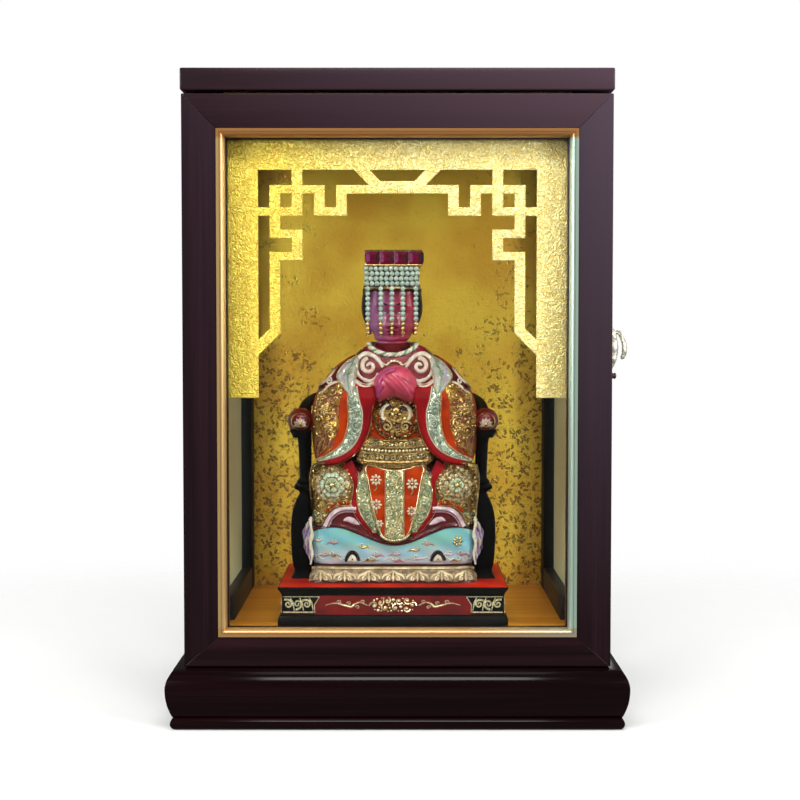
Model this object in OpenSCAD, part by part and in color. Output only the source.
// Glazed table shrine: a dark hardwood case on a moulded plinth, with one framed glass door,
// two side panes, a gold fretwork valance, and a seated figure on a carved throne and stand.
// The front faces -Y. The origin is the middle of the footprint, on the ground.

/* [Case] */
// Outside width of the case
case_w = 390; // [340:1:450]
// Depth of the case behind the door
case_d = 260; // [240:1:320]
// Height from the ground to the top of the cap
cabinet_h = 600; // [560:1:720]
// Thickness of the top cap
cap_t = 20; // [14:1:30]
// Overhang of the cap past the door and past the sides
cap_out = 1; // [0:0.5:5]
// Width of each back post and thickness of the side rails, seen from the front
post_w = 39.5; // [36:0.5:48]
// Width of each front post
front_post_w = 34; // [31:0.5:36]
// Depth of each front post
front_post_d = 40; // [30:1:50]
// Depth of each back post
back_post_d = 44; // [30:1:54]
// Height of the side bottom rails above the plinth
low_rail_h = 56; // [42:1:64]
// Height of the side top rails and of the front head rail
top_rail_h = 35; // [25:1:45]
// Thickness of the front sill and head rails
cross_rail_t = 20; // [14:1:26]
// Thickness of the floor board
floor_t = 12; // [8:1:16]
// Height of the floor's upper face above the plinth
floor_rise = 33; // [26:1:36]
// Thickness of the back panel
back_t = 12; // [8:1:16]
// Thickness of the gold lining board in front of the back panel
lining_t = 3; // [2:0.5:5]

/* [Plinth] */
// Height of the ledge that the case stands on
plinth_h = 55; // [45:1:68]
// Thickness of the base board
foot_h = 12; // [9:1:16]
// Projection of the base board past the case
foot_out = 12; // [9:0.5:14]
// Projection of the moulding at its fullest
bulge_out = 16; // [12.5:0.5:22]
// Height of the fullest line of the moulding
bulge_z = 38; // [30:1:42]
// Projection of the ledge's edge past the case
ledge_out = 8.4; // [6:0.2:10]
// Projection of the moulding where it meets the base board
toe_out = 10; // [7:0.5:11.5]
// Thickness of the moulding, from its fullest line to its inner face
moulding_t = 60; // [54:1:66]
// Thickness of the plinth's back rail
plinth_back_t = 20; // [14:1:26]

/* [Door] */
// Thickness of the door frame
door_t = 20; // [17:0.5:26]
// Joint between the door and the case, which the hinge leaves fill
door_joint = 2; // [1.6:0.1:3]
// Gap under the door
gap_low = 1.5; // [1:0.1:4]
// Gap over the door
gap_high = 3; // [1:0.1:5]
// Width of the door stiles
stile_w = 31; // [26:0.5:38]
// Height of the door's top rail
door_top_h = 31; // [26:0.5:38]
// Height of the door's bottom rail
door_low_h = 27; // [22:0.5:34]
// Thickness of the frame's back lip behind the glass
lip_t = 9; // [6:0.5:11]
// Width of that lip at the sides and the top
lip_w = 9; // [5:0.5:10]
// Width of that lip at the bottom
lip_low_w = 7; // [4:0.5:8]
// Thickness of the door glass and of the side panes
glass_t = 3; // [2:0.5:4]

/* [Gilt bead] */
// Width of the gilt bead around the glass
bead_w = 7.6; // [6:0.2:9]
// How far the bead stands out from the door's face
bead_proud = 1; // [0:0.1:2]
// Width of the bead's flat outer fillet
bead_fillet = 2.6; // [2:0.2:4]
// Width and depth of the groove inside that fillet
bead_groove = 0.7; // [0.4:0.1:1.2]
// Height of the bead's inner edge over the glass
bead_edge = 2; // [1:0.5:4]
// Clearance around the bead and the glass in the frame
glazing_gap = 0.25; // [0.1:0.05:0.5]

/* [Side panes] */
// Distance from the case's side to the outer face of the pane
pane_inset = 25.4; // [16:0.2:26]
// Depth of the grooves that hold the pane
pane_groove = 6; // [4:0.5:8]

/* [Valance] */
// Thickness of the fretwork board
valance_t = 3; // [2:0.5:5]
// Distance of the board behind the case's front
valance_set = 1; // [0.5:0.5:6]
// Height of the board's top band below the cap
band_top = 69.2; // [60:0.2:84]
// Width of the board's side bands
band_side = 33; // [26:0.5:40]
// Length of the board's side bands below the cap
band_drop = 278.5; // [250:0.5:300]
// Spacing of the fretwork straps
fret_pitch = 20.4; // [18:0.1:21]
// Width of the upright straps
strap_w = 9.9; // [8:0.1:11]
// Height of the level straps
strap_h = 7.8; // [6:0.1:9]
// Distance from the top band to the first level strap
fret_top_gap = 13.8; // [11:0.1:16]
// Length of the long hanging strap below the last level strap
fret_tail = 70.2; // [50:0.2:90]
// Distance from the middle to the slanted strap, along the top band
slant_x = 25.8; // [20:0.2:32]
// Overlap of the two boards' level straps in the middle
lap_rise = 3.6; // [2:0.2:5]

/* [Hardware] */
// Length of each hinge
hinge_l = 50; // [36:1:64]
// Radius of the hinge knuckles
knuckle_r = 2.4; // [2:0.1:3]
// Radius of the hinge pin
hinge_pin_r = 1.1; // [0.8:0.1:1.3]
// Thickness of the hinge leaves
leaf_t = 0.7; // [0.5:0.1:0.8]
// Width of the hinge leaves
leaf_w = 22; // [14:1:26]
// Distance from the door's ends to the hinges
hinge_inset = 60; // [40:1:90]
// Clearance around moving parts of the hinges and the pull
run_gap = 0.25; // [0.15:0.05:0.4]
// Height of the pull plate's middle above the ground
pull_z = 348; // [250:1:420]
// Height of the pull plate
plate_h = 43; // [36:1:52]
// Width of the pull plate
plate_w = 16; // [13:0.5:17]
// Thickness of the pull plate at its middle
plate_t = 7; // [5:0.5:9]
// Height of the pull's pivot above the middle of the plate
pivot_rise = 14; // [11:0.5:16]
// Length of the hanging pull below its pivot
drop_l = 26; // [20:0.5:30]
// Projection of the hanging pull from the door's edge
drop_out = 14.6; // [12:0.2:15.5]
// Width of the hanging pull
drop_w = 11; // [8:0.5:13]
// Radius of the rest stud under the plate
stud_r = 3.6; // [2.5:0.1:4.5]

/* [Figure stand] */
// Sideways offset of the stand and the figure from the middle of the case
figure_x = -4.2; // [-8:0.2:8]
// Width of the stand
stand_w = 215; // [190:1:240]
// Depth of the stand
stand_d = 149; // [130:1:170]
// Distance from the case's front to the stand
stand_set = 6; // [4:0.5:20]
// Height of the stand
stand_h = 37; // [30:0.5:44]
// Height of the stand's foot band
stand_foot_h = 12.5; // [9:0.5:15]
// Height of the stand's top moulding
stand_top_h = 11.5; // [8:0.5:14]
// Depth of the recessed waist of the stand
stand_waist_in = 3; // [1:0.5:6]

/* [Throne] */
// Width of the throne over its side panels
throne_w = 197; // [184:1:210]
// Distance from the stand's front to the throne's side panels
throne_set = 50; // [44:1:60]
// Depth of the throne's side panels
throne_d = 75; // [60:1:90]
// Width of each side panel
throne_side_w = 19.5; // [12:0.5:22]
// Height of the side panels above the stand
throne_side_h = 92; // [80:1:104]
// Height of the seat above the stand
seat_h = 80; // [66:1:90]
// Height of the throne's back above the stand
throne_back_h = 178; // [150:1:200]
// Thickness of the throne's back
throne_back_t = 12; // [8:1:16]
// Half width of the throne's back under its crest
throne_back_r = 70; // [60:1:74]
// Height of the crest rail of the throne's back
crest_h = 18; // [12:1:24]
// Distance of the arm heads in front of the throne's side panels
ball_set = 8; // [4:1:12]
// Radius of the round heads of the arms
arm_ball_r = 12.4; // [9:0.2:14]
// Height of the arm heads' middle above the stand
arm_z = 152; // [140:1:164]
// Thickness of the arms and of their posts
arm_t = 7; // [5:0.5:10]

/* [Figure] */
// Distance from the stand's front to the figure's robe
robe_set = 23; // [16:1:34]
// Half width of the robe at its base
robe_base_r = 77; // [66:1:82]
// Half width of the robe at the fullest line of its waves
robe_wave_r = 81; // [70:1:86]
// Height of the lap above the stand
lap_h = 111; // [98:1:124]
// Half width of the robe across the knees
knee_r = 76; // [66:1:80]
// Half width of the trunk
trunk_r = 36; // [30:1:42]
// Height of the shoulders above the stand
shoulder_h = 190; // [170:1:205]
// Height of the neck above the stand
neck_h = 212; // [196:1:226]
// Half width over the sleeves
sleeve_r = 77; // [68:1:84]
// Distance that the sleeves stand out in front of the trunk
sleeve_out = 22; // [16:1:28]
// Half width of the clasped hands
hands_r = 22; // [17:1:26]
// Distance that the hands stand out in front of the trunk
hands_d = 28; // [24:1:34]
// Height of the clasped hands
hands_h = 37; // [28:1:44]
// Height of the hands' lower edge above the stand
hands_z = 171; // [156:1:182]
// Radius of the head
head_r = 27; // [22:0.5:31]
// Height of the crown's lower edge above the stand
crown_z = 279; // [266:1:290]
// Height of the crown board's lower face above the stand
crown_board_z = 300; // [288:1:312]
// Height of the crown board
crown_board_h = 15.5; // [10:0.5:20]
// Half width of the crown board
crown_board_r = 29; // [24:0.5:34]
// Depth of the crown board
crown_board_d = 62; // [50:1:74]

/* [Hidden] */
$fn = 64;
// How far one shape runs into the next within a single piece
tie = 2;
half_w = case_w / 2;
overall_d = bulge_out + door_t + door_joint + case_d;
y_back = overall_d / 2;
y_case = y_back - case_d;
y_door_back = y_case - door_joint;
y_door = y_door_back - door_t;
z_cap = cabinet_h - cap_t;
z_floor = plinth_h + floor_rise;
post_in = half_w - post_w;
front_in = half_w - front_post_w;
y_front_post = y_case + front_post_d;
y_back_post = y_back - back_post_d;
y_lining = y_back - back_t - lining_t;
z_rail_low = plinth_h + low_rail_h;
z_rail_top = z_cap - top_rail_h;
door_z0 = plinth_h + gap_low;
door_z1 = z_cap - gap_high;
// The front opening of the door frame, where the bead and the glass sit
open_x = half_w - stile_w;
open_z0 = door_z0 + door_low_h;
open_z1 = door_z1 - door_top_h;
y_glass = y_door_back - lip_t - glass_t;
hinge_y = y_case - door_joint / 2;
hinge_x = -half_w;
hinge_z = [door_z0 + hinge_inset, door_z1 - hinge_inset - hinge_l];
y_stand = y_case + stand_set;
z_stand = z_floor + stand_h;
y_throne = y_stand + throne_set;
y_robe = y_stand + robe_set;
x_pull = half_w;
y_pull = y_door + door_t / 2;

// ---------- shared shapes ----------

// A box from its low corner to its high corner
module block(lo, hi) {
    translate(lo) cube(hi - lo);
}

// Runs its 2-D children, drawn as (x, z), from y0 towards the back
module upright(y0, depth) {
    translate([0, y0 + depth, 0]) rotate([90, 0, 0]) linear_extrude(depth) children();
}

// Runs its 2-D children, drawn as (y, z), from x0 to the right
module sideways(x0, length) {
    translate([x0, 0, 0]) rotate([90, 0, 90]) linear_extrude(length) children();
}

// Builds its children once on the left (side -1) or on the right (side 1)
module on_side(side) {
    mirror([side < 0 ? 1 : 0, 0, 0]) children();
}

// ---------- plinth ----------

// Section of a bullnosed board: u runs outwards and stops at 0, v runs upwards
module bullnose_section(reach) {
    translate([-reach, 0]) square([reach - foot_h / 2, foot_h]);
    translate([-foot_h / 2, foot_h / 2]) circle(d = foot_h);
}

module base_board() {
    half = half_w + foot_out;
    y_front = y_door - foot_out;
    color("#2b1114") intersection() {
        // rounded along both sides
        translate([0, y_back, 0]) rotate([90, 0, 0]) linear_extrude(y_back - y_front) union() {
            translate([half, 0]) bullnose_section(half);
            mirror([1, 0]) translate([half, 0]) bullnose_section(half);
        }
        // rounded along the front
        sideways(-half, 2 * half) mirror([1, 0]) translate([-y_front, 0])
            bullnose_section(y_back - y_front);
    }
}

// Radius of the arc that bulges by a sagitta over a half chord
function arc_r(sag, half_chord) = (sag * sag + half_chord * half_chord) / (2 * sag);

// Section of the plinth moulding: u is the projection past the case, v the height
module moulding_section() {
    r_up = arc_r(bulge_out - ledge_out, plinth_h - bulge_z);
    r_low = arc_r(bulge_out - toe_out, bulge_z - foot_h);
    inner = bulge_out - moulding_t;
    intersection() {
        translate([inner, bulge_z]) square([moulding_t, plinth_h - bulge_z]);
        union() {
            translate([inner, bulge_z]) square([moulding_t - r_up, plinth_h - bulge_z]);
            translate([bulge_out - r_up, bulge_z]) circle(r_up, $fn = 96);
        }
    }
    intersection() {
        translate([inner, foot_h]) square([moulding_t, bulge_z - foot_h]);
        translate([bulge_out - r_low, bulge_z]) circle(r_low, $fn = 160);
    }
}

module plinth_front() {
    half = half_w + bulge_out;
    y0 = y_door - bulge_out;
    color("#2b1114") intersection() {
        sideways(-half, 2 * half) mirror([1, 0]) translate([-y_door, 0]) moulding_section();
        linear_extrude(plinth_h) polygon([[-half, y0], [half, y0],
            [half - moulding_t, y0 + moulding_t], [-half + moulding_t, y0 + moulding_t]]);
    }
}

// One side of the plinth, drawn on the right
module plinth_side() {
    half = half_w + bulge_out;
    y0 = y_door - bulge_out;
    intersection() {
        upright(y0, y_back - y0) translate([half_w, 0]) moulding_section();
        linear_extrude(plinth_h) polygon([[half, y0], [half, y_back],
            [half - moulding_t, y_back], [half - moulding_t, y0 + moulding_t]]);
    }
}
module plinth_left() { color("#2b1114") on_side(-1) plinth_side(); }
module plinth_right() { color("#2b1114") on_side(1) plinth_side(); }

module plinth_back() {
    inner = half_w + bulge_out - moulding_t;
    color("#2b1114") block([-inner, y_back - plinth_back_t, foot_h], [inner, y_back, plinth_h]);
}

// ---------- case ----------

// Space of the side pane with clearance: the panes' grooves are cut with it
module pane(clear) {
    x1 = half_w - pane_inset + clear;
    reach = pane_groove - glazing_gap + clear;
    block([x1 - glass_t - 2 * clear, y_front_post - reach, z_rail_low - pane_groove],
        [x1, y_back_post + reach, z_rail_top + reach]);
}

// One corner post from its inner face to the case's side, drawn on the right
module post(inner, y0, y1) {
    difference() {
        block([inner, y0, plinth_h], [half_w, y1, z_cap]);
        pane(glazing_gap);
    }
}
module front_left_post() {
    color("#34171b") difference() {
        on_side(-1) post(front_in, y_case, y_front_post);
        hinge_notches();
    }
}
module front_right_post() { color("#34171b") on_side(1) post(front_in, y_case, y_front_post); }
module back_left_post() { color("#34171b") on_side(-1) post(post_in, y_back_post, y_back); }
module back_right_post() { color("#34171b") on_side(1) post(post_in, y_back_post, y_back); }

// One side rail, drawn on the right
module side_rail(z0, z1) {
    difference() {
        block([post_in, y_front_post, z0], [half_w, y_back_post, z1]);
        pane(glazing_gap);
    }
}
module left_bottom_rail() { color("#34171b") on_side(-1) side_rail(plinth_h, z_rail_low); }
module right_bottom_rail() { color("#34171b") on_side(1) side_rail(plinth_h, z_rail_low); }
module left_top_rail() { color("#34171b") on_side(-1) side_rail(z_rail_top, z_cap); }
module right_top_rail() { color("#34171b") on_side(1) side_rail(z_rail_top, z_cap); }

module front_sill() {
    color("#34171b")
        block([-front_in, y_case, plinth_h], [front_in, y_case + cross_rail_t, z_floor - floor_t]);
}
module front_head() {
    y0 = y_case + valance_set + valance_t;
    color("#34171b") block([-front_in, y0, z_rail_top], [front_in, y0 + cross_rail_t, z_cap]);
}
module floor_board() {
    color("#3a1b1d") {
        block([-post_in, y_case, z_floor - floor_t], [post_in, y_back - back_t, z_floor]);
        // wider between the front posts
        block([-front_in, y_case, z_floor - floor_t], [front_in, y_front_post, z_floor]);
    }
}
module back_panel() {
    color("#34171b") block([-post_in, y_back - back_t, plinth_h], [post_in, y_back, z_cap]);
}
module back_lining() {
    color("#b8902a") block([-post_in, y_lining, z_floor], [post_in, y_lining + lining_t, z_cap]);
}
module top_cap() {
    half = half_w + cap_out;
    color("#2b1114") block([-half, y_door - cap_out, z_cap], [half, y_back, cabinet_h]);
}
module left_side_glass() { color("#a9c4b8", 0.4) on_side(-1) pane(0); }
module right_side_glass() { color("#a9c4b8", 0.4) on_side(1) pane(0); }

// ---------- valance ----------

band_x = front_in - band_side;
band_z = z_cap - band_top;
// Outer edge of upright strap k and upper edge of level strap j
function strap_x(k) = band_x - (fret_pitch - strap_w) - k * fret_pitch;
function strap_z(j) = band_z - fret_top_gap - j * fret_pitch;

// Upright strap k, from the upper edge of level strap j0 to the lower edge of level strap j1
module upright_strap(k, j0, j1) {
    translate([strap_x(k) - strap_w, strap_z(j1) - strap_h])
        square([strap_w, strap_z(j0) - strap_z(j1) + strap_h]);
}
// Level strap j, from the outer edge of upright strap k0 to the inner edge of strap k1
module level_strap(j, k0, k1) {
    translate([strap_x(k1) - strap_w, strap_z(j) - strap_h])
        square([strap_x(k0) - strap_x(k1) + strap_w, strap_h]);
}

// The right half of the fretwork board, as (x, z)
module fret_half() {
    slant_run = strap_w * sqrt(2);
    tail_z = strap_z(3) - fret_tail;
    turn = strap_w * tan(22.5);
    lap_z = strap_z(0) + lap_rise;
    // top band and side band
    translate([0, band_z]) square([front_in, band_top]);
    translate([band_x, z_cap - band_drop]) square([band_side, band_drop]);
    // corner ring, its tie to the top band and its tie to the side band
    upright_strap(0, 0, 2);
    upright_strap(1, 0, 1);
    level_strap(0, 0, 2);
    level_strap(1, 0, 1);
    translate([strap_x(1) - strap_w, strap_z(0) - tie])
        square([strap_w, band_z - strap_z(0) + 2 * tie]);
    translate([strap_x(0) - tie, strap_z(1) - strap_h])
        square([band_x - strap_x(0) + 2 * tie, strap_h]);
    // meander towards the middle
    upright_strap(2, 0, 1);
    level_strap(1, 2, 3);
    upright_strap(3, 0, 1);
    // slanted strap, and the level strap that it laps over in the middle
    foot_x = slant_x + slant_run - (band_z - strap_z(0));
    polygon([[0, strap_z(0) - strap_h], [strap_x(3), strap_z(0) - strap_h],
        [strap_x(3), strap_z(0)], [foot_x, strap_z(0)],
        [slant_x + slant_run, band_z], [slant_x + slant_run, band_z + tie],
        [slant_x, band_z + tie], [slant_x, band_z], [slant_x - (band_z - lap_z), lap_z],
        [0, lap_z]]);
    // meander down the side, and the long tail that turns back to the side band
    level_strap(2, 0, 1);
    upright_strap(1, 2, 3);
    level_strap(3, 0, 1);
    polygon([[strap_x(0), strap_z(3) - tie], [strap_x(0) - strap_w, strap_z(3) - tie],
        [strap_x(0) - strap_w, tail_z - turn],
        [band_x + tie, tail_z - turn - (band_x + tie - strap_x(0) + strap_w)],
        [band_x + tie, tail_z - (band_x + tie - strap_x(0))], [strap_x(0), tail_z]]);
}
module valance_half() { upright(y_case + valance_set, valance_t) fret_half(); }
module valance_left() { color("#e0bb3a") on_side(-1) valance_half(); }
module valance_right() { color("#e0bb3a") on_side(1) valance_half(); }

// ---------- door ----------

// The rectangle of the door, inset by its own distance on each side, as (x, z) corners
function ring_corner(x, z0, z1) = [[-x, z0], [x, z0], [x, z1], [-x, z1]];

// One mitred side of a rectangular ring: 0 bottom, 1 right, 2 top, 3 left
module mitred(side, outer, inner) {
    next = (side + 1) % 4;
    polygon([outer[side], outer[next], inner[next], inner[side]]);
}

// One side of the door frame: a full front layer and a narrower-opening back lip
module frame_side(side) {
    outer = ring_corner(half_w, door_z0, door_z1);
    opening = ring_corner(open_x, open_z0, open_z1);
    lip = ring_corner(open_x - lip_w, open_z0 + lip_low_w, open_z1 - lip_w);
    upright(y_door, door_t - lip_t) mitred(side, outer, opening);
    upright(y_door_back - lip_t, lip_t) mitred(side, outer, lip);
}
module door_bottom_rail() { color("#34171b") frame_side(0); }
module door_right_stile() { color("#34171b") frame_side(1); }
module door_top_rail() { color("#34171b") frame_side(2); }
module door_left_stile() {
    color("#34171b") difference() {
        frame_side(3);
        hinge_notches();
    }
}

module door_glass() {
    reach = open_x - glazing_gap;
    color("#cfe0d6", 0.3) block([-reach, y_glass, open_z0],
        [reach, y_glass + glass_t, open_z1 - glazing_gap]);
}

// Section of the gilt bead: u runs inwards from the frame, v from its face to the glass
module bead_section() {
    depth = y_glass - y_door + bead_proud;
    crown_u = bead_fillet + bead_groove;
    fall = depth - bead_edge;
    run = bead_w - crown_u;
    polygon(concat(
        [[0, 0], [bead_fillet, 0], [bead_fillet, bead_groove], [crown_u, bead_groove]],
        [for (a = [0:15:90]) [crown_u + run * sin(a), fall * (1 - cos(a))]],
        [[bead_w, depth], [0, depth]]));
}

// One side of the bead, mitred at both ends
module bead_side(side) {
    x1 = open_x - glazing_gap;
    z0 = open_z0 + glazing_gap;
    z1 = open_z1 - glazing_gap;
    y0 = y_door - bead_proud;
    outer = ring_corner(x1, z0, z1);
    inner = ring_corner(x1 - bead_w, z0 + bead_w, z1 - bead_w);
    intersection() {
        upright(y0, y_glass - y0) mitred(side, outer, inner);
        if (side == 0) sideways(-x1, 2 * x1) translate([y0, z0]) rotate(90) mirror([0, 1])
            bead_section();
        else if (side == 2) sideways(-x1, 2 * x1) translate([y0, z1]) rotate(-90)
            bead_section();
        else if (side == 1) translate([x1, y0, z0]) linear_extrude(z1 - z0) mirror([1, 0])
            bead_section();
        else translate([-x1, y0, z0]) linear_extrude(z1 - z0) bead_section();
    }
}
module bead_bottom() { color("#d9b873") bead_side(0); }
module bead_right() { color("#d9b873") bead_side(1); }
module bead_top() { color("#d9b873") bead_side(2); }
module bead_left() { color("#d9b873") bead_side(3); }

// ---------- hinges ----------

knuckle_l = (hinge_l - 2 * run_gap) / 3;

// Clearance for the knuckles in the corners of the door and of the case
module hinge_notches() {
    for (z = hinge_z) translate([hinge_x, hinge_y, z - run_gap])
        cylinder(r = knuckle_r + run_gap, h = hinge_l + 2 * run_gap);
}
// A hinge leaf from the pin line to its edge, between two levels
module leaf(y0, z) {
    block([hinge_x, y0, z], [hinge_x + leaf_w, y0 + leaf_t, z + hinge_l]);
}
module case_hinge_leaves() {
    color("#a98a4e") for (z = hinge_z) {
        z_mid = z + knuckle_l + run_gap;
        difference() {
            union() {
                leaf(y_case - leaf_t, z);
                translate([hinge_x, hinge_y, z]) cylinder(r = knuckle_r, h = hinge_l);
            }
            // gap for the door's knuckle, but not for the pin through it
            difference() {
                translate([hinge_x, hinge_y, z_mid - run_gap])
                    cylinder(r = knuckle_r + run_gap, h = knuckle_l + 2 * run_gap);
                translate([hinge_x, hinge_y, z]) cylinder(r = hinge_pin_r, h = hinge_l);
            }
        }
    }
}
module door_hinge_leaves() {
    color("#a98a4e") for (z = hinge_z) {
        z_mid = z + knuckle_l + run_gap;
        difference() {
            union() {
                difference() {
                    leaf(y_door_back, z);
                    translate([hinge_x, hinge_y, z - run_gap])
                        cylinder(r = knuckle_r + run_gap, h = hinge_l + 2 * run_gap);
                }
                translate([hinge_x, hinge_y, z_mid]) cylinder(r = knuckle_r, h = knuckle_l);
                block([hinge_x, y_door_back, z_mid],
                    [hinge_x + knuckle_r + 1, y_door_back + leaf_t, z_mid + knuckle_l]);
            }
            translate([hinge_x, hinge_y, z]) cylinder(r = hinge_pin_r + run_gap / 2, h = hinge_l);
        }
    }
}

// ---------- pull ----------

// The plate's face is an arc across its height
plate_r = arc_r(plate_t, plate_h / 2);
pivot_z = pull_z + pivot_rise;
// Height of the plate's face over the door's edge, at a height above its middle
function plate_face(dz) = plate_t - plate_r + sqrt(plate_r * plate_r - dz * dz);
// Radius and width of the pull's eye, and the pin and ears that carry it
eye_r = 2.2;
eye_w = 5;
pin_r = 0.9;
ear_t = 1.5;
pivot_x = x_pull + plate_face(pivot_rise) + eye_r + 0.4;
// Height of the rest stud, its taper and its distance from the plate's edge
stud_t = 5;
stud_taper = 0.8;
stud_gap = 0.6;

module pull_plate() {
    color("#d8cfa6") {
        difference() {
            intersection() {
                translate([x_pull, y_pull, pull_z]) rotate([0, 90, 0]) linear_extrude(plate_t)
                    intersection() {
                        square([plate_h, plate_w], center = true);
                        circle(d = plate_h + 1);
                    }
                translate([x_pull + plate_t - plate_r, y_pull + plate_w, pull_z])
                    rotate([90, 0, 0]) cylinder(r = plate_r, h = 2 * plate_w, $fn = 128);
            }
            // room for the pull's eye
            translate([pivot_x, y_pull, pivot_z]) rotate([90, 0, 0])
                cylinder(r = eye_r + run_gap, h = eye_w + 2 * run_gap, center = true);
        }
        // the ears and the pin
        for (s = [-1, 1]) translate([0, y_pull + s * (eye_w + ear_t + 2 * run_gap) / 2, 0])
            rotate([90, 0, 0]) linear_extrude(ear_t, center = true) {
                translate([pivot_x, pivot_z]) circle(eye_r);
                translate([x_pull, pivot_z - eye_r]) square([pivot_x - x_pull, 2 * eye_r]);
            }
        translate([pivot_x, y_pull, pivot_z]) rotate([90, 0, 0])
            cylinder(r = pin_r, h = eye_w + ear_t, center = true);
        // the rest stud under the plate
        translate([x_pull, y_pull, pull_z - plate_h / 2 - stud_r - stud_gap]) rotate([0, 90, 0])
            cylinder(r1 = stud_r, r2 = stud_r - stud_taper, h = stud_t);
    }
}

// Side view of the hanging pull as (x, z): it bows outwards and thickens towards its tip
module drop_side() {
    out = x_pull + drop_out;
    z1 = pivot_z;
    z0 = pivot_z - drop_l;
    tip_in = out - 6.5;
    polygon([[pivot_x, z1 - 0.6], [pivot_x + 1.6, z1 - 0.6],
        [out - 1.6, z1 - drop_l * 0.35], [out, z1 - drop_l * 0.65], [out - 1, z1 - drop_l * 0.81],
        [out - 4, z0 + 1], [tip_in, z0], [tip_in, z0 + 3.4],
        [out - 3.6, z1 - drop_l * 0.75], [out - 3.2, z1 - drop_l * 0.54],
        [out - 4.6, z1 - drop_l * 0.31], [pivot_x + 0.2, z1 - 2.1]]);
}
// Face view of the hanging pull, as (down, y) from the middle of its round body
module drop_face() {
    circle(d = drop_w);
    translate([0, -drop_w * 0.3]) square([drop_l, drop_w * 0.6]);
    translate([-drop_l, -eye_w / 2]) square([drop_l, eye_w]);
}

module pull_drop() {
    color("#e3dbb4") difference() {
        union() {
            translate([pivot_x, y_pull, pivot_z]) rotate([90, 0, 0])
                cylinder(r = eye_r, h = eye_w, center = true);
            intersection() {
                translate([0, y_pull, 0]) rotate([90, 0, 0])
                    linear_extrude(drop_w, center = true) drop_side();
                translate([x_pull, y_pull, pivot_z - drop_l * 0.56]) rotate([0, 90, 0])
                    linear_extrude(drop_out + 1) drop_face();
            }
        }
        translate([pivot_x, y_pull, pivot_z]) rotate([90, 0, 0])
            cylinder(r = pin_r + run_gap / 2, h = drop_w, center = true);
    }
}

// ---------- stand and throne ----------

// A box centred on the figure, from its half width, its front and its back
module figure_block(r, y0, y1, z0, z1) {
    block([figure_x - r, y0, z0], [figure_x + r, y1, z1]);
}

module stand() {
    waist_r = stand_w / 2 - stand_waist_in;
    y1 = y_stand + stand_d;
    color("#7a1f1c") {
        figure_block(stand_w / 2, y_stand, y1, z_floor, z_floor + stand_foot_h);
        figure_block(waist_r, y_stand + stand_waist_in, y1 - stand_waist_in,
            z_floor + stand_foot_h, z_stand - stand_top_h);
        figure_block(stand_w / 2, y_stand, y1, z_stand - stand_top_h, z_stand);
    }
}

// The seat starts behind the front of the side panels
seat_back = 20;
seat_y = y_throne + seat_back;
throne_y1 = y_throne + throne_d;
throne_in = throne_w / 2 - throne_side_w;
// Middle of each arm and of its round head
arm_x = throne_w / 2 - throne_side_w / 2;

module throne_seat() {
    color("#1d1314") {
        figure_block(throne_w / 2, seat_y, throne_y1, z_stand, z_stand + seat_h);
        for (s = [-1, 1]) translate([figure_x, 0, 0]) on_side(s)
            block([throne_in, y_throne, z_stand],
                [throne_w / 2, throne_y1, z_stand + throne_side_h]);
    }
}
module throne_back() {
    y0 = throne_y1 - throne_back_t;
    z1 = z_stand + throne_back_h;
    color("#1d1314") {
        figure_block(throne_back_r, y0, throne_y1, z_stand + seat_h, z1);
        figure_block(arm_x - arm_t / 2, y0, throne_y1, z1 - crest_h, z1);
    }
}

// One arm, drawn on the right: a round head, the post under it, and the rail behind it
module throne_arm() {
    y_ball = y_throne - ball_set + arm_ball_r;
    z_ball = z_stand + arm_z;
    x0 = arm_x - arm_t / 2;
    x1 = arm_x + arm_t / 2;
    z1 = z_stand + throne_back_h;
    translate([arm_x, y_ball, z_ball]) sphere(arm_ball_r);
    block([x0, y_ball - arm_t / 2, z_stand + throne_side_h], [x1, y_ball + arm_t / 2, z_ball]);
    // the rail climbs from the head to the throne's back
    sideways(x0, arm_t) polygon([[y_ball, z_ball - arm_t / 2], [y_ball, z_ball + arm_t],
        [throne_y1, z1], [throne_y1, z1 - 2 * arm_t]]);
    // the post at the back
    block([x0, throne_y1 - throne_back_t, z_stand + throne_side_h], [x1, throne_y1, z1]);
}
module throne_arms() {
    color("#1d1314") for (s = [-1, 1]) translate([figure_x, 0, 0]) on_side(s) throne_arm();
}

// ---------- figure ----------

// Depth of the lap in front of the trunk
lap_d = 24;
body_y0 = y_robe + lap_d;
body_y1 = throne_y1 - throne_back_t;
// Heights of the fullest line of the waves and of the robe's narrowing between the panels
wave_z = z_stand + 16;
narrow_z = z_stand + 50;
// Clearance between the figure and what it sits in or holds
fit = 0.3;
// Half width of the neck
neck_r = 20;

// Front view of the skirt
module skirt_front(z_lap) {
    in = throne_in - fit;
    polygon([[-robe_base_r, z_stand], [robe_base_r, z_stand], [robe_wave_r - 2, wave_z],
        [in, narrow_z], [knee_r, z_lap], [-knee_r, z_lap], [-in, narrow_z],
        [-robe_wave_r + 2, wave_z]]);
}
// Side view of the skirt, which leans back over the knees
module skirt_side(z_lap) {
    polygon([[y_robe, z_stand], [seat_y, z_stand], [seat_y, z_lap], [y_robe + 26, z_lap],
        [y_robe + 8, z_lap - 22], [y_robe, z_stand + 60]]);
}
// Plan of the skirt: narrower behind, between the throne's side panels
module skirt_plan() {
    in = throne_in - fit;
    y1 = y_throne - fit;
    polygon([[-robe_wave_r, y_robe], [robe_wave_r, y_robe], [robe_wave_r, y1], [in, y1],
        [in, seat_y], [-in, seat_y], [-in, y1], [-robe_wave_r, y1]]);
}

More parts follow.
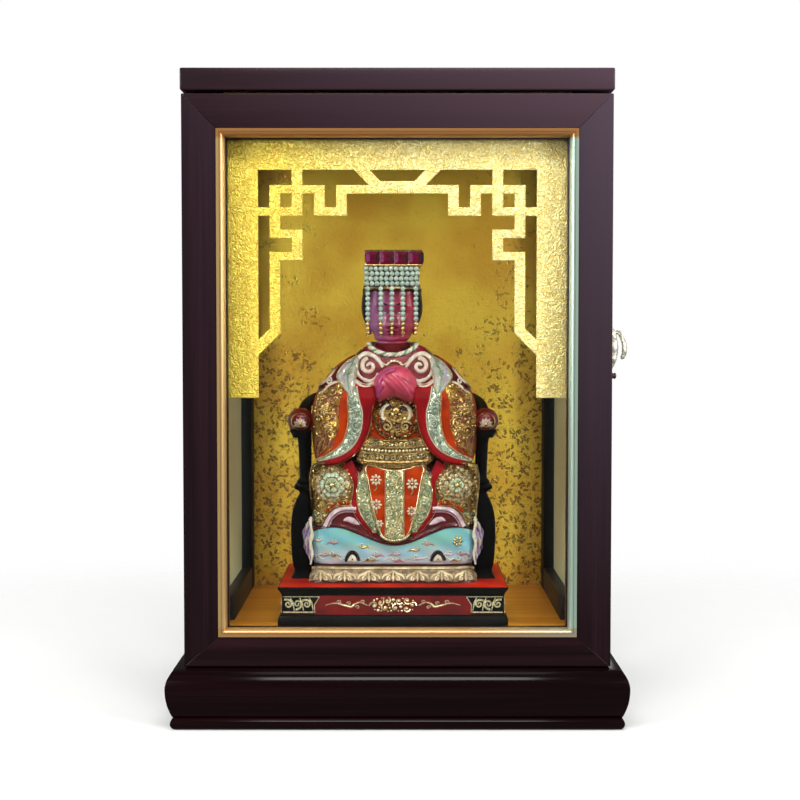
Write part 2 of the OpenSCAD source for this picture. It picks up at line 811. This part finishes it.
// The robe is a skirt and a lap below and a trunk above
module figure_robe() {
    z_lap = z_stand + lap_h;
    z_neck = z_stand + neck_h;
    z_shoulder = z_stand + shoulder_h;
    color("#a8321f") translate([figure_x, 0, 0]) {
        intersection() {
            upright(y_robe, seat_y - y_robe) skirt_front(z_lap);
            sideways(-robe_wave_r, 2 * robe_wave_r) skirt_side(z_lap);
            linear_extrude(z_lap) skirt_plan();
        }
        block([-knee_r, seat_y - tie, z_stand + seat_h], [knee_r, body_y1, z_lap]);
        intersection() {
            upright(body_y0, body_y1 - body_y0) polygon([
                [-trunk_r, z_lap - tie], [trunk_r, z_lap - tie], [trunk_r, z_shoulder],
                [neck_r, z_neck], [-neck_r, z_neck], [-trunk_r, z_shoulder]]);
            sideways(-trunk_r, 2 * trunk_r) polygon([
                [body_y0, z_lap - tie], [body_y1, z_lap - tie], [body_y1, z_shoulder],
                [body_y1 - neck_r, z_neck], [body_y0 + 12, z_neck], [body_y0, z_shoulder - 10]]);
        }
    }
}

// One sleeve, drawn on the right: it hangs from the shoulder to the lap and reaches the hands
module sleeve() {
    z_lap = z_stand + lap_h;
    z_shoulder = z_stand + shoulder_h;
    z_hands = z_stand + hands_z;
    x0 = hands_r + fit;
    y0 = body_y0 - sleeve_out;
    intersection() {
        upright(y0, body_y1 - y0) polygon([
            [x0, z_hands], [sleeve_r - 26, z_lap + 10], [sleeve_r - 16, z_lap],
            [sleeve_r, z_lap + 2], [sleeve_r, z_lap + 26], [sleeve_r - 17, z_shoulder - 6],
            [trunk_r, z_shoulder], [x0, z_hands + hands_h - 6]]);
        linear_extrude(z_stand + neck_h) polygon([
            [x0, y0], [sleeve_r - 8, y0], [sleeve_r, y0 + 10], [sleeve_r, body_y0 + 20],
            [trunk_r + 14, body_y1], [trunk_r, body_y1], [trunk_r, body_y0], [x0, body_y0]]);
    }
}
module figure_sleeves() {
    color("#c4482a") for (s = [-1, 1]) translate([figure_x, 0, 0]) on_side(s) sleeve();
}

module figure_hands() {
    z0 = z_stand + hands_z;
    z1 = z0 + hands_h;
    color("#d9737c") translate([figure_x, 0, 0]) intersection() {
        upright(body_y0 - hands_d, hands_d) polygon([
            [-hands_r + 5, z0], [hands_r - 5, z0], [hands_r, z0 + 8], [hands_r - 2, z1 - 10],
            [hands_r - 10, z1], [-hands_r + 10, z1], [-hands_r + 2, z1 - 10], [-hands_r, z0 + 8]]);
        linear_extrude(z1) polygon([
            [-hands_r, body_y0], [hands_r, body_y0], [hands_r, body_y0 - hands_d + 10],
            [hands_r - 8, body_y0 - hands_d], [-hands_r + 8, body_y0 - hands_d],
            [-hands_r, body_y0 - hands_d + 10]]);
    }
}

// Middle of the head in plan
head_y = (body_y0 + body_y1) / 2 - 4;

module figure_head() {
    z0 = z_stand + neck_h;
    z1 = z_stand + crown_z;
    h = z1 - z0;
    color("#d98a86") translate([figure_x, head_y, z0]) rotate_extrude()
        polygon(concat([[0, 0], [head_r * 0.62, 0], [head_r * 0.58, 6]],
            [for (t = [0:0.125:1]) [head_r * (0.62 + 0.38 * sin(180 * min(1, 0.12 + t * 0.6))),
                6 + t * (h - 6)]],
            [[0, h]]));
}

module figure_crown() {
    z0 = z_stand + crown_z;
    z1 = z_stand + crown_board_z;
    color("#b08a3a") translate([figure_x, 0, 0]) {
        translate([0, head_y, z0]) cylinder(r = head_r, h = z1 - z0);
        block([-crown_board_r, head_y - crown_board_d / 2, z1],
            [crown_board_r, head_y + crown_board_d / 2, z1 + crown_board_h]);
    }
}

// ---------- what is drawn ----------

base_board();
plinth_front();
plinth_left();
plinth_right();
plinth_back();
front_left_post();
front_right_post();
back_left_post();
back_right_post();
left_bottom_rail();
right_bottom_rail();
left_top_rail();
right_top_rail();
front_sill();
front_head();
floor_board();
back_panel();
back_lining();
top_cap();
left_side_glass();
right_side_glass();
valance_left();
valance_right();
door_left_stile();
door_right_stile();
door_top_rail();
door_bottom_rail();
door_glass();
bead_left();
bead_right();
bead_top();
bead_bottom();
case_hinge_leaves();
door_hinge_leaves();
pull_plate();
pull_drop();
stand();
throne_seat();
throne_back();
throne_arms();
figure_robe();
figure_sleeves();
figure_hands();
figure_head();
figure_crown();
